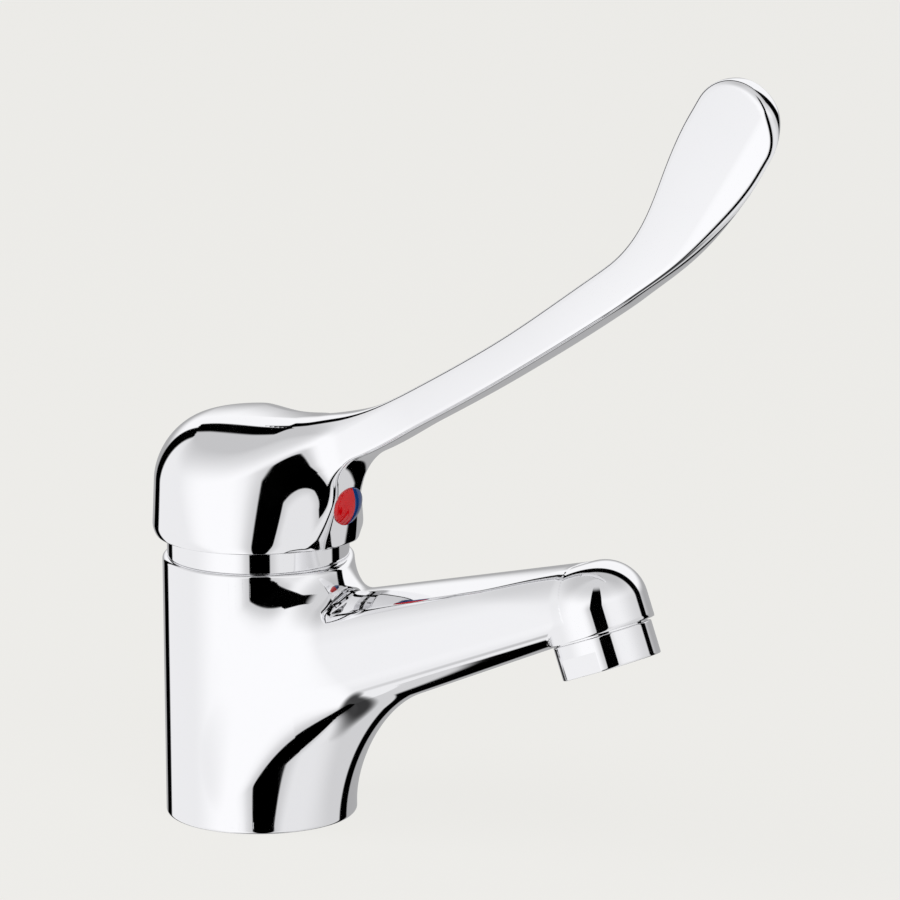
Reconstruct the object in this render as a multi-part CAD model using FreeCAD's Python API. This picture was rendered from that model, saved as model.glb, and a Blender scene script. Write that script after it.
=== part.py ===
import FreeCAD, Part
import math
import os

# Basin mixer tap with a long lever. Millimetres. The origin is on the deck, on the body's axis,
# +Z is up and +X points along the spout. The hot side is -Y.

V = FreeCAD.Vector
UP = V(0, 0, 1)

# Clearances, and how far a cut runs past the face that it opens
slip_fit = 0.05
screw_fit = 0.1
free_gap = 0.3
past = 1.0

# Tap body: an upright cylinder
body_radius = 24.0
body_height = 66.5
body_edge = 0.9

# Spout: lines of its crest and belly in the plane y = 0, and its half width, along x
crest_x = 51.6
crest_z = body_height
crest_slope = 0.244
belly_x = 51.3
belly_drop = 28.3
belly_z = body_height - belly_drop
belly_slope = 0.435
half_width_x = 25.0
flank_inset = 8.6
half_width = body_radius - flank_inset
half_width_slope = -0.025
crown_x = 50.0
crown_top = 5.2
crown_top_slope = -0.056
crown_belly = 6.0
crown_belly_slope = -0.05
spout_top_edge = 2.6
spout_low_edge = 3.0
spout_root_blend = 24.0
root_sink = 0.8
spout_root_x = 0.6 * body_radius
spout_steps = 14
spout_spacing = 1.4
neck_blend = 4.0

# Keel: the belly runs down the front of the cylinder to the deck
keel_blend = 46.0
keel_inset = 0.4
keel_foot_inset = 1.4
keel_foot_radius = body_radius - keel_foot_inset
keel_top_inset = 0.8
keel_top_radius = half_width - keel_top_inset
keel_steps = 8
keel_hidden = 5.0

# Nose of the spout and its mouth, on the axis of the aerator
mouth_x = 107.0
mouth_drop = 4.1
mouth_z = body_height - mouth_drop
mouth_tilt = 21.0
nose_radius = 13.4
nose_height = 17.0
nose_round = 10.5
nose_side_round = 8.9
soften_length = 20.0
lean_length = 40.0

# Underside: seal groove, stud hole and the two inlet threads
base_seal_inset = 2.6
base_seal_wall = 3.0
base_seal_outer = body_radius - base_seal_inset
base_seal_inner = base_seal_outer - base_seal_wall
base_seal_depth = 2.2
stud_x = -0.5 * body_radius
stud_radius = 4.0
stud_depth = 16.0
inlet_x = 3.5
inlet_y = 8.5
inlet_radius = 5.0
inlet_depth = 14.0

# Cartridge: base, discs and carrier, stacked up from the seat
seat_depth = 32.5
seat_z = body_height - seat_depth
cartridge_radius = 17.5
base_thick = 6.0
inlet_port_x = 4.6
inlet_port_y = 5.4
inlet_port_radius = 2.4
outlet_port_x = -4.6
outlet_port_radius = 3.2
outlet_way_half = 2.3
outlet_way_floor = 1.2
port_seal_wall = 1.3
port_seal_thick = 1.4
disc_seal_wall = 0.9
disc_seal_thick = 0.9
peg_radius = 1.5
peg_length = 2.5
peg_y = 12.8
fixed_disc_radius = 14.3
fixed_disc_thick = 3.5
moving_disc_radius = 10.2
moving_disc_thick = 3.0
mixing_depth = 1.6
mixing_radius = 3.4
mixing_front_x = 1.0
carrier_radius = 9.8
carrier_thick = 5.0
carrier_pocket_depth = 4.0
carrier_peg_radius = 1.1
carrier_peg_length = 1.0
carrier_peg_y = 7.6
housing_bore = 14.8
housing_neck_radius = 13.7
housing_neck_top = body_height - screw_fit
housing_lip = 2.3
seal_ring_radius = 0.8
body_seal_rise = 12.0
body_seal_z = seat_z + body_seal_rise

# Cartridge: spindle guide, spindle and stop ring
guide_radius = 10.9
guide_flange_radius = 14.4
guide_flange_thick = 2.6
guide_slot_back = 8.7
guide_slot_front = 7.3
lug_length = 1.5
lug_half = 2.0
pivot_depth = 6.5
pivot_z = body_height - pivot_depth
pin_radius = 1.5
pin_end = 0.4
spindle_width = 8.0
spindle_low_z = pivot_z - 2 * pin_radius
spindle_rise = 30.0
spindle_top_z = pivot_z + spindle_rise
spindle_edge = 0.5
shank_radius = 2.25
ball_radius = 2.8
ball_gap = 0.15
stop_ring_thick = 1.6
turn_limit = 50.0
stop_play = 2.0

# Chamber in the body, nut and cover ring
spout_way_radius = 5.0
spout_way_x = 13.0
spout_way_rise = 2.2
spout_way_z = seat_z + spout_way_rise
spout_way_end_inset = 3.0
spout_way_end_x = mouth_x - spout_way_end_inset
spout_way_end_rise = 7.6
spout_way_end_z = mouth_z + spout_way_end_rise
nut_thread_radius = 19.7
nut_bore = 14.0
nut_hex_height = 4.0
cover_inset = 1.2
cover_radius = body_radius - cover_inset
cover_height = 5.3
cover_wall = 1.8
nut_hex_gap = 0.45
nut_hex_across = (cover_radius - cover_wall - nut_hex_gap) * math.sqrt(3)
cover_flange = 1.0
cover_bore = 17.2

# Lever dome: round behind the axis, drawn forward in front of it
lever_gap = 0.2
lever_rim_z = body_height + cover_height + lever_gap
rim_tuck = 1.0
rim_tuck_height = 3.0
dome_overhang = 2.1
dome_radius = body_radius + dome_overhang
dome_taper = 0.1
dome_side_height = 14.0
dome_round_z = lever_rim_z + dome_side_height
dome_height = 32.6
dome_top_z = lever_rim_z + dome_height
apron_lead = 0.7
apron_reach = dome_radius + apron_lead
apron_slope = 0.21
dome_steps = 9

# Lever stem and paddle: centre line (x, height above the lever's rim), half depth in the plane
# y = 0 and half width across it
stem_stations = [
    (12.0, 23.5, 7.6, 9.0),
    (24.0, 26.8, 7.2, 8.0),
    (33.0, 29.6, 6.3, 7.0),
    (42.4, 33.3, 5.3, 6.3),
    (52.2, 38.6, 4.8, 6.0),
    (72.2, 50.0, 4.6, 5.9),
    (92.1, 62.3, 4.85, 5.8),
    (101.9, 68.6, 5.05, 5.6),
    (111.8, 75.6, 5.35, 5.1),
    (117.1, 79.5, 5.6, 4.8),
    (122.5, 84.4, 6.2, 4.4),
    (128.9, 91.0, 7.6, 4.0),
    (134.9, 99.8, 10.0, 3.6),
    (141.1, 109.7, 11.6, 3.2),
    (146.8, 118.0, 11.9, 3.0),
]
paddle_end = 12.0
paddle_end_turns = (25, 48, 66, 80)
paddle_end_bluntness = 0.4
stem_squareness = 3.0
stem_points = 8

# Inside the lever: cavity, socket for the spindle and screw boss
dome_wall = 2.7
cavity_radius = dome_radius - dome_wall
cavity_side_height = 16.5
cavity_round_z = lever_rim_z + cavity_side_height
roof_wall = 4.1
cavity_top_z = dome_top_z - roof_wall
boss_lift = 6.0
boss_low_z = lever_rim_z + boss_lift
boss_radius = 8.6
screw_rise = 10.2
screw_z = lever_rim_z + screw_rise
screw_boss_radius = 5.6
grub_radius = 3.0
grub_length = 8.0
grub_hex_across = 3.0
grub_hex_depth = 3.5
access_radius = 3.4
plug_seat_lead = 0.6
plug_seat_x = apron_reach + plug_seat_lead
plug_radius = 4.9
plug_rim = 1.3
plug_dome = 1.7
plug_stem_length = 5.0

# Aerator, along its own axis: zero at the mouth plane, negative below it
collar_radius = 12.3
collar_length = 8.4
collar_gap = 0.4
collar_edge = 0.4
flat_across = 22.0
flat_length = 5.0
aerator_bore = 10.4
aerator_lip_bore = 9.5
aerator_lip = 1.2
aerator_thread_radius = 11.5
aerator_thread_length = 6.5
washer_thick = 1.6
washer_bore = 8.6
mouth_way_radius = 8.0
mouth_way_length = 4.5
grid_height = 5.0
grid_wall = 1.0
grid_bar = 0.5
grid_pitch = 2.2
grid_bars = 4
grid_bar_height = 2.0
jets_thick = 4.0
jet_count = 12
jet_radius = 0.7
jet_circle = 7.0
regulator_thick = 2.0
regulator_bore = 3.0
filter_thick = 2.0
filter_hole_radius = 0.9

# Heights that follow from the stack
base_top = seat_z + base_thick
fixed_disc_top = base_top + fixed_disc_thick
moving_disc_top = fixed_disc_top + moving_disc_thick
carrier_top = moving_disc_top + carrier_thick
flange_low = carrier_top + free_gap
flange_top = flange_low + guide_flange_thick
shoulder_z = flange_top + free_gap + housing_lip
ball_z = carrier_top - carrier_pocket_depth + ball_radius + ball_gap
guide_top = housing_neck_top + slip_fit + stop_ring_thick
chamber_radius = cartridge_radius + free_gap


def cylinder(radius, low, high, x=0.0, y=0.0):
    """Upright cylinder between two heights."""
    return Part.makeCylinder(radius, high - low, V(x, y, low), UP)


def tube(outer, inner, low, high, x=0.0, y=0.0):
    """Upright tube between two heights."""
    return cylinder(outer, low, high, x, y).cut(cylinder(inner, low - past, high + past, x, y))


def rod(radius, start, end):
    """Cylinder from one point to another."""
    return Part.makeCylinder(radius, (end - start).Length, start, end - start)


def block(x_low, x_high, y_half, z_low, z_high):
    """Box centred on the plane y = 0."""
    return Part.makeBox(x_high - x_low, 2 * y_half, z_high - z_low, V(x_low, -y_half, z_low))


def hexagon(across, low, high):
    """Upright hexagonal bar."""
    radius = across / math.sqrt(3.0)
    angles = [math.radians(60 * k) for k in range(7)]
    corners = [V(radius * math.cos(angle), radius * math.sin(angle), low) for angle in angles]
    return Part.Face(Part.makePolygon(corners)).extrude(V(0, 0, high - low))


def along_x(shape, x, z):
    """Carry a shape made about Z to the axis through (x, 0, z) that points along +X."""
    moved = shape.copy()
    moved.rotate(V(0, 0, 0), V(0, 1, 0), 90)
    moved.translate(V(x, 0, z))
    return moved


def spun(edges):
    """Solid turned about Z from edges that close an outline in the plane y = 0."""
    return Part.Face(Part.Wire(edges)).revolve(V(0, 0, 0), UP, 360)


def line(start, end):
    return Part.LineSegment(start, end).toShape()


def arc(start, middle, end):
    return Part.Arc(start, middle, end).toShape()


def chord_marks(ring):
    """Share of the way round a closed ring at each of its points, from 0 to 1."""
    closed = ring + [ring[0]]
    steps = [(there - here).Length for here, there in zip(closed, closed[1:])]
    marks = [0.0]
    for step in steps:
        marks.append(marks[-1] + step / sum(steps))
    return marks


def skin(rings, pattern):
    """Smooth solid through closed rings of points. The ring numbered pattern sets the spacing."""
    marks = chord_marks(rings[pattern])
    wires = []
    for ring in rings:
        curve = Part.BSplineCurve()
        curve.interpolate(Points=ring, PeriodicFlag=True, Parameters=marks)
        wires.append(Part.Wire([curve.toShape()]))
    return Part.makeLoft(wires, True, False)


def mirrored_ring(half):
    """Closed ring from the points of its +Y half, whose ends lie on the plane y = 0."""
    return half + [V(p.x, -p.y, p.z) for p in reversed(half[1:-1])]


def crest(x):
    """Height of the spout's crest in the plane y = 0."""
    return crest_z + crest_slope * (x - crest_x)


def belly(x):
    """Height of the spout's belly in the plane y = 0."""
    return belly_z + belly_slope * (x - belly_x)


def spout_half_width(x):
    """Straight side, which flares at the root on a circle that meets the cylinder."""
    flat = half_width + half_width_slope * (x - half_width_x)
    blend_y = half_width + spout_root_blend
    blend_x = math.sqrt((body_radius - root_sink + spout_root_blend) ** 2 - blend_y ** 2)
    if x >= blend_x:
        return flat
    return flat + spout_root_blend - math.sqrt(spout_root_blend ** 2 - (blend_x - x) ** 2)


def spout_ring(x, round_top, lean):
    """Section of the spout: crowned top and belly, flat sides, round corners.

    The section leans back by the given slope about the mouth's height.
    """
    width = spout_half_width(x)
    top = (crest(x) + crest_slope * lean * mouth_z) / (1 + crest_slope * lean)
    low = (belly(x) + belly_slope * lean * mouth_z) / (1 + belly_slope * lean)
    drop = crown_top + crown_top_slope * (x - crown_x)
    lift = crown_belly + crown_belly_slope * (x - crown_x)
    flat_top = width - round_top
    flat_low = width - spout_low_edge
    side_top = top - drop * (flat_top / width) ** 2 - round_top
    side_low = low + lift * (flat_low / width) ** 2 + spout_low_edge
    outline = []
    for step in range(5):
        y = flat_top * step / 4.0
        outline.append((y, top - drop * (y / width) ** 2))
    for angle in (35, 65, 90):
        turn = math.radians(angle)
        outline.append((flat_top + round_top * math.sin(turn), side_top + round_top * math.cos(turn)))
    for step in (1, 2, 3):
        outline.append((width, side_top + (side_low - side_top) * step / 4.0))
    for angle in (90, 60, 30):
        turn = math.radians(angle)
        outline.append((flat_low + spout_low_edge * math.sin(turn),
                        side_low - spout_low_edge * math.cos(turn)))
    for step in range(4, -1, -1):
        y = flat_low * step / 4.0
        outline.append((y, low + lift * (y / width) ** 2))
    return mirrored_ring([V(x - lean * (z - mouth_z), y, z) for y, z in outline])


def spout():
    """Spout from inside the cylinder to the mouth's axis. Its top edges soften towards the nose."""
    rings = []
    for step in range(spout_steps):
        share = step / (spout_steps - 1.0)
        x = spout_root_x + (mouth_x - spout_root_x) * share ** spout_spacing
        soft = max(0.0, 1.0 - (mouth_x - x) / soften_length)
        near = max(0.0, 1.0 - (mouth_x - x) / lean_length)
        lean = math.tan(math.radians(mouth_tilt)) * near ** 2 * (3 - 2 * near)
        rings.append(spout_ring(x, spout_top_edge + (nose_side_round - spout_top_edge) * soft, lean))
    return skin(rings, spout_steps // 2)


def tilted(shape):
    """Carry a shape made about Z to the mouth's axis, with z = 0 at the mouth plane."""
    moved = shape.copy()
    moved.rotate(V(0, 0, 0), V(0, 1, 0), -mouth_tilt)
    moved.translate(V(mouth_x, 0, mouth_z))
    return moved


def nose():
    """Round end of the spout: a short cylinder with a domed top, on the aerator's axis."""
    side = nose_height - nose_round
    bow = nose_round * math.sqrt(0.5)
    flat = nose_radius - nose_round
    solid = spun([
        line(V(0, 0, 0), V(nose_radius, 0, 0)),
        line(V(nose_radius, 0, 0), V(nose_radius, 0, side)),
        arc(V(nose_radius, 0, side), V(flat + bow, 0, side + bow), V(flat, 0, nose_height)),
        line(V(flat, 0, nose_height), V(0, 0, nose_height)),
        line(V(0, 0, nose_height), V(0, 0, 0)),
    ])
    return tilted(solid)


def keel():
    """Front of the body below the spout: round sections whose front follows one large arc."""
    corner_x = body_radius - keel_inset
    corner_z = belly(corner_x)
    bend = math.pi / 2 - math.atan(belly_slope)
    centre_x = corner_x + keel_blend
    centre_z = corner_z - keel_blend * math.tan(bend / 2)
    foot_z = max(body_edge, centre_z)
    low = math.asin((foot_z - centre_z) / keel_blend)
    wires = []
    for step in range(keel_steps):
        share = step / (keel_steps - 1.0)
        angle = low + (bend - low) * share
        front_x = centre_x - keel_blend * math.cos(angle)
        z = centre_z + keel_blend * math.sin(angle)
        radius = keel_foot_radius + (keel_top_radius - keel_foot_radius) * share
        wires.append(Part.Wire([Part.Circle(V(front_x - radius, 0, z), UP, radius).toShape()]))
    centre = V(front_x - radius + keel_hidden / 2, 0, z + keel_hidden)
    wires.append(Part.Wire([Part.Circle(centre, UP, radius - keel_hidden).toShape()]))
    return Part.makeLoft(wires, True, False)


def waterway(side):
    """Sloping way from one inlet thread up to its port in the seat."""
    start = V(inlet_x, side * inlet_y, inlet_depth - past)
    end = V(inlet_port_x, side * inlet_port_y, seat_z + past)
    return rod(inlet_port_radius, start, end)


def on_wall(edge):
    """True for an edge where the keel or the spout meets the cylinder's wall."""
    box = edge.BoundBox
    if box.ZLength < 1 or box.YLength < 1 or box.XMin < 1:
        return False
    return all(abs(math.hypot(p.x, p.y) - body_radius) < 0.05 for p in edge.discretize(7))


def tap_body():
    """Cast body: cylinder, keel and spout, then the chamber, waterways, threads and seal groove."""
    solid = cylinder(body_radius, 0, body_height)
    solid = solid.makeChamfer(body_edge, [solid.Edges[0], solid.Edges[2]])
    solid = solid.fuse([keel(), spout(), nose()]).removeSplitter()
    solid = solid.makeFillet(neck_blend, [edge for edge in solid.Edges if on_wall(edge)])
    cuts = [
        cylinder(chamber_radius, seat_z, body_height + past),
        cylinder(nut_thread_radius + screw_fit, shoulder_z - 2 * free_gap, body_height + past),
        rod(spout_way_radius, V(spout_way_x, 0, spout_way_z), V(spout_way_end_x, 0, spout_way_end_z)),
        tube(base_seal_outer, base_seal_inner, -past, base_seal_depth),
        cylinder(stud_radius, -past, stud_depth, stud_x),
        tilted(cylinder(nose_radius, -collar_length, 0)),
        tilted(cylinder(aerator_thread_radius + screw_fit, -past, mouth_bore)),
        tilted(cylinder(mouth_way_radius, 0, mouth_bore + mouth_way_length)),
    ]
    for side in (-1, 1):
        cuts.append(cylinder(inlet_radius, -past, inlet_depth, inlet_x, side * inlet_y))
        cuts.append(waterway(side))
        cuts.append(cylinder(peg_radius + slip_fit, seat_z - peg_length - free_gap, seat_z + past,
                             0, side * peg_y))
    return solid.cut(cuts)


def base_seal():
    return tube(base_seal_outer - slip_fit, base_seal_inner + slip_fit, 0, base_seal_depth - slip_fit)


def cartridge_base():
    """Base of the cartridge: two inlet ports, one outlet port and its way out to the side."""
    solid = cylinder(cartridge_radius, seat_z, base_top)
    cuts = []
    for side in (-1, 1):
        y = side * inlet_port_y
        solid = solid.fuse(cylinder(peg_radius, seat_z - peg_length, seat_z + past, 0, side * peg_y))
        cuts.append(cylinder(inlet_port_radius, seat_z - past, base_top + past, inlet_port_x, y))
        cuts.append(cylinder(inlet_port_radius + port_seal_wall + slip_fit, seat_z - past,
                             seat_z + port_seal_thick + slip_fit, inlet_port_x, y))
        cuts.append(cylinder(inlet_port_radius + disc_seal_wall + slip_fit,
                             base_top - disc_seal_thick - slip_fit, base_top + past, inlet_port_x, y))
    floor = seat_z + outlet_way_floor
    cuts.append(cylinder(outlet_port_radius, floor, base_top + past, outlet_port_x))
    cuts.append(cylinder(outlet_port_radius + disc_seal_wall + slip_fit,
                         base_top - disc_seal_thick - slip_fit, base_top + past, outlet_port_x))
    cuts.append(block(outlet_port_x, cartridge_radius + past, outlet_way_half, floor,
                      base_top - disc_seal_thick - outlet_way_floor))
    return solid.cut(cuts)


def port_seals():
    """Two seals between the cartridge base and the seat in the body."""
    return Part.makeCompound([
        tube(inlet_port_radius + port_seal_wall, inlet_port_radius, seat_z, seat_z + port_seal_thick,
             inlet_port_x, side * inlet_port_y) for side in (-1, 1)])


def disc_seals():
    """Three seals between the cartridge base and the fixed disc."""
    low = base_top - disc_seal_thick
    rings = [tube(inlet_port_radius + disc_seal_wall, inlet_port_radius, low, base_top,
                  inlet_port_x, side * inlet_port_y) for side in (-1, 1)]
    rings.append(tube(outlet_port_radius + disc_seal_wall, outlet_port_radius, low, base_top,
                      outlet_port_x))
    return Part.makeCompound(rings)


def fixed_disc():
    """Ceramic disc that stays still, with the three ports through it."""
    solid = cylinder(fixed_disc_radius, base_top, fixed_disc_top)
    cuts = [cylinder(inlet_port_radius, base_top - past, fixed_disc_top + past, inlet_port_x,
                     side * inlet_port_y) for side in (-1, 1)]
    cuts.append(cylinder(outlet_port_radius, base_top - past, fixed_disc_top + past, outlet_port_x))
    return solid.cut(cuts)


def carrier_pegs(radius, low, high):
    """Two upright pegs that tie the carrier to the moving disc."""
    return [cylinder(radius, low, high, 0, side * carrier_peg_y) for side in (-1, 1)]


def moving_disc():
    """Ceramic disc that slides and turns. The slot below it joins the inlets to the outlet."""
    solid = cylinder(moving_disc_radius, fixed_disc_top, moving_disc_top)
    high = fixed_disc_top + mixing_depth
    cuts = [
        cylinder(mixing_radius, fixed_disc_top - past, high, outlet_port_x),
        cylinder(mixing_radius, fixed_disc_top - past, high, mixing_front_x),
        block(outlet_port_x, mixing_front_x, mixing_radius, fixed_disc_top - past, high),
    ]
    cuts += carrier_pegs(carrier_peg_radius + slip_fit, moving_disc_top - carrier_peg_length - slip_fit,
                         moving_disc_top + past)
    return solid.cut(cuts)


def disc_carrier():
    """Plastic plate on the moving disc, with the pocket for the spindle's ball."""
    solid = cylinder(carrier_radius, moving_disc_top, carrier_top)
    pegs_low = moving_disc_top - carrier_peg_length
    pegs = carrier_pegs(carrier_peg_radius, pegs_low, moving_disc_top + past)
    half = ball_radius + ball_gap
    pocket = block(-half, half, half, carrier_top - carrier_pocket_depth, carrier_top + past)
    return solid.fuse(pegs).cut(pocket)


def cartridge_housing():
    """Plastic shell of the cartridge: wide barrel, lip and narrow neck, with the seal's groove."""
    lip_low = flange_top + free_gap
    solid = cylinder(cartridge_radius, base_top, shoulder_z)
    solid = solid.fuse(cylinder(housing_neck_radius, base_top, housing_neck_top))
    ring = chamber_radius - seal_ring_radius
    groove = Part.makeTorus(ring, seal_ring_radius, V(0, 0, body_seal_z), UP)
    return solid.cut([
        cylinder(housing_bore, base_top - past, lip_low),
        cylinder(guide_radius + slip_fit, base_top - past, housing_neck_top + past),
        groove,
    ])


def body_seal():
    """Ring between the housing and the chamber's wall."""
    ring = chamber_radius - seal_ring_radius
    return Part.makeTorus(ring, seal_ring_radius - slip_fit / 2, V(0, 0, body_seal_z), UP)


def spindle_guide():
    """Turret that turns in the housing and carries the spindle's pin."""
    solid = cylinder(guide_flange_radius, flange_low, flange_top)
    solid = solid.fuse(cylinder(guide_radius, flange_low, guide_top))
    lug = block(-guide_radius - lug_length, -guide_radius + past, lug_half,
                housing_neck_top + slip_fit, guide_top)
    slot = block(-guide_slot_back, guide_slot_front, spindle_width / 2 + slip_fit,
                 flange_low - past, guide_top + past)
    bore = rod(pin_radius + slip_fit / 2, V(0, -guide_radius, pivot_z), V(0, guide_radius, pivot_z))
    return solid.fuse(lug).cut([slot, bore])


def spindle_pin():
    half = guide_radius - pin_end
    return rod(pin_radius, V(0, -half, pivot_z), V(0, half, pivot_z))


def spindle():
    """Square bar above the pin, slim shank below it and the ball that moves the carrier."""
    half = spindle_width / 2
    solid = block(-half, half, half, spindle_low_z, spindle_top_z)
    top_edges = [edge for edge in solid.Edges if edge.BoundBox.ZMin > spindle_top_z - slip_fit]
    solid = solid.makeChamfer(spindle_edge, top_edges)
    shank = cylinder(shank_radius, ball_z, spindle_low_z + past)
    ball = Part.makeSphere(ball_radius, V(0, 0, ball_z))
    bore = rod(pin_radius + slip_fit, V(0, -spindle_width, pivot_z), V(0, spindle_width, pivot_z))
    return solid.fuse([shank, ball]).cut(bore)


def stop_ring():
    """Ring on the housing's neck. The guide's lug runs in its notch, which ends the turn."""
    low = housing_neck_top
    high = low + stop_ring_thick
    reach = guide_radius + lug_length + free_gap
    solid = tube(housing_neck_radius, guide_radius + slip_fit, low, high)
    lug_angle = math.degrees(math.asin(lug_half / guide_radius))
    sweep = 2 * (turn_limit + lug_angle + stop_play)
    notch = Part.makeCylinder(reach, stop_ring_thick + 2 * past, V(0, 0, low - past), UP, sweep)
    notch.rotate(V(0, 0, 0), UP, 180 - sweep / 2)
    return solid.cut(notch)


def cartridge_nut():
    """Nut that presses the cartridge's shoulder down, with a hexagon for the spanner."""
    solid = cylinder(nut_thread_radius, shoulder_z, body_height)
    solid = solid.fuse(hexagon(nut_hex_across, body_height, body_height + nut_hex_height))
    return solid.cut(cylinder(nut_bore, shoulder_z - past, body_height + nut_hex_height + past))


def cover_ring():
    """Bright ring over the nut, standing on the body's rim."""
    top = body_height + cover_height
    solid = cylinder(cover_radius, body_height, top)
    solid = solid.cut(cylinder(cover_radius - cover_wall, body_height - past, top - cover_flange))
    return solid.cut(cylinder(cover_bore, body_height, top + past))


def dome_back(z):
    """Radius of the dome behind the axis: tucked in at the rim, nearly upright, then round."""
    if z < lever_rim_z + rim_tuck_height:
        share = (lever_rim_z + rim_tuck_height - z) / rim_tuck_height
        return dome_radius - rim_tuck * share ** 2
    if z < dome_round_z:
        return dome_radius - dome_taper * (z - lever_rim_z - rim_tuck_height)
    side = dome_radius - dome_taper * (dome_round_z - lever_rim_z - rim_tuck_height)
    share = min(1.0, (z - dome_round_z) / (dome_top_z - dome_round_z))
    return side * math.sqrt(1 - share ** 2)


def dome_front(z):
    """Reach of the dome in front of the axis: a nearly upright apron that runs into the stem."""
    reach = apron_reach + apron_slope * (z - lever_rim_z)
    return reach - rim_tuck * max(0.0, (lever_rim_z + rim_tuck_height - z) / rim_tuck_height) ** 2


def dome_ring(z):
    """Level section of the dome: a half circle behind, half an ellipse in front."""
    back = dome_back(z)
    front = dome_front(z)
    half = []
    for step in range(13):
        turn = math.pi * step / 12
        reach = front if step < 6 else back
        half.append(V(reach * math.cos(turn), back * math.sin(turn), z))
    return mirrored_ring(half)


def dome():
    """Outside of the lever's dome."""
    levels = [lever_rim_z, lever_rim_z + rim_tuck_height / 2, lever_rim_z + rim_tuck_height]
    levels += [(levels[-1] + dome_round_z) / 2, dome_round_z]
    for step in range(1, dome_steps):
        turn = math.pi / 2 * step / dome_steps
        levels.append(dome_round_z + (dome_top_z - dome_round_z) * math.sin(turn))
    return skin([dome_ring(z) for z in levels], 2)


def stem_ring(x, z, depth, width, heading):
    """Section of the stem: a rounded rectangle square to the centre line."""
    up = V(-math.sin(heading), 0, math.cos(heading))
    power = 2.0 / stem_squareness
    half = []
    for step in range(stem_points + 1):
        turn = math.pi * step / stem_points
        across = width * abs(math.sin(turn)) ** power
        rise = depth * math.copysign(abs(math.cos(turn)) ** power, math.cos(turn))
        if step in (0, stem_points):
            across = 0.0
        half.append(V(x, across, z) + up * rise)
    return mirrored_ring(half)


def stem():
    """Stem and paddle of the lever, skinned along its centre line to the paddle's round end."""
    rings = []
    last = len(stem_stations) - 1
    for number, (x, z, depth, width) in enumerate(stem_stations):
        before = stem_stations[max(0, number - 1)]
        after = stem_stations[min(last, number + 1)]
        heading = math.atan2(after[1] - before[1], after[0] - before[0])
        rings.append(stem_ring(x, lever_rim_z + z, depth, width, heading))
    x, z, depth, width = stem_stations[-1]
    for turn in paddle_end_turns:
        angle = math.radians(turn)
        out = paddle_end * math.sin(angle)
        thin = width * math.cos(angle) ** paddle_end_bluntness
        rings.append(stem_ring(x + out * math.cos(heading), lever_rim_z + z + out * math.sin(heading),
                               depth * math.cos(angle), thin, heading))
    return skin(rings, 4)


def cavity():
    """Hollow of the dome: upright wall, then a round roof."""
    low = lever_rim_z - past
    side = V(cavity_radius, 0, cavity_round_z)
    roof = V(0, 0, cavity_top_z)
    turn = math.pi / 4
    middle = V(cavity_radius * math.cos(turn), 0,
               cavity_round_z + (cavity_top_z - cavity_round_z) * math.sin(turn))
    return spun([
        line(V(0, 0, low), V(cavity_radius, 0, low)),
        line(V(cavity_radius, 0, low), side),
        arc(side, middle, roof),
        line(roof, V(0, 0, low)),
    ])


def screw_way(radius, start, end):
    """Round way along +X at the height of the grub screw."""
    return rod(radius, V(start, 0, screw_z), V(end, 0, screw_z))


def lever_handle():
    """Lever casting: hollow dome with a socket boss and a screw boss, and the long stem."""
    outside = dome().fuse(stem())
    bosses = cylinder(boss_radius, boss_low_z, cavity_top_z + past)
    bosses = bosses.fuse(screw_way(screw_boss_radius, 0, cavity_radius + past))
    hollow = cavity().cut(bosses)
    half = spindle_width / 2 + slip_fit
    socket = block(-half, half, half, lever_rim_z, spindle_top_z + free_gap)
    grub_end = half + grub_length
    return outside.cut([
        hollow,
        socket,
        screw_way(grub_radius + slip_fit, 0, grub_end + past),
        screw_way(access_radius, grub_end, plug_seat_x + past),
        screw_way(plug_radius + slip_fit, plug_seat_x, plug_seat_x + 2 * plug_radius),
    ])


def grub_screw():
    """Socket set screw that holds the lever on the spindle."""
    start = spindle_width / 2
    solid = screw_way(grub_radius, start, start + grub_length)
    key = hexagon(grub_hex_across, 0, grub_hex_depth + past)
    key = along_x(key, start + grub_length - grub_hex_depth, screw_z)
    return solid.cut(key)


def indicator(side):
    """One half of the indicator plug: half a domed head and half its stem."""
    rim_x = plug_seat_x + plug_rim
    ball = (plug_radius ** 2 + plug_dome ** 2) / (2 * plug_dome)
    head = screw_way(plug_radius, plug_seat_x, rim_x + plug_dome)
    sphere = Part.makeSphere(ball, V(rim_x + plug_dome - ball, 0, screw_z))
    solid = head.common(sphere)
    stem_start = plug_seat_x - plug_stem_length
    solid = solid.fuse(screw_way(access_radius - screw_fit, stem_start, plug_seat_x + plug_rim / 2))
    reach = plug_radius + past
    corner = V(stem_start - past, min(0, side * reach), screw_z - reach)
    return solid.common(Part.makeBox(3 * reach, reach, 2 * reach, corner))


def aerator_housing():
    """Collar with two wrench flats, and the threaded neck above it."""
    top = -collar_gap
    low = top - collar_length
    solid = cylinder(collar_radius, low, top)
    solid = solid.makeChamfer(collar_edge, [solid.Edges[0], solid.Edges[2]])
    solid = solid.fuse(cylinder(aerator_thread_radius, top - past, aerator_thread_length))
    reach = collar_radius + past
    for side in (-1, 1):
        y = flat_across / 2 if side > 0 else -flat_across / 2 - reach
        solid = solid.cut(Part.makeBox(2 * reach, reach, flat_length + past, V(-reach, y, low - past)))
    solid = solid.cut([cylinder(aerator_bore, low + aerator_lip, aerator_thread_length + past),
                       cylinder(aerator_lip_bore, low - past, aerator_thread_length)])
    return tilted(solid)


def aerator_washer():
    low = aerator_thread_length
    return tilted(tube(aerator_thread_radius, washer_bore, low, low + washer_thick))


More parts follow.
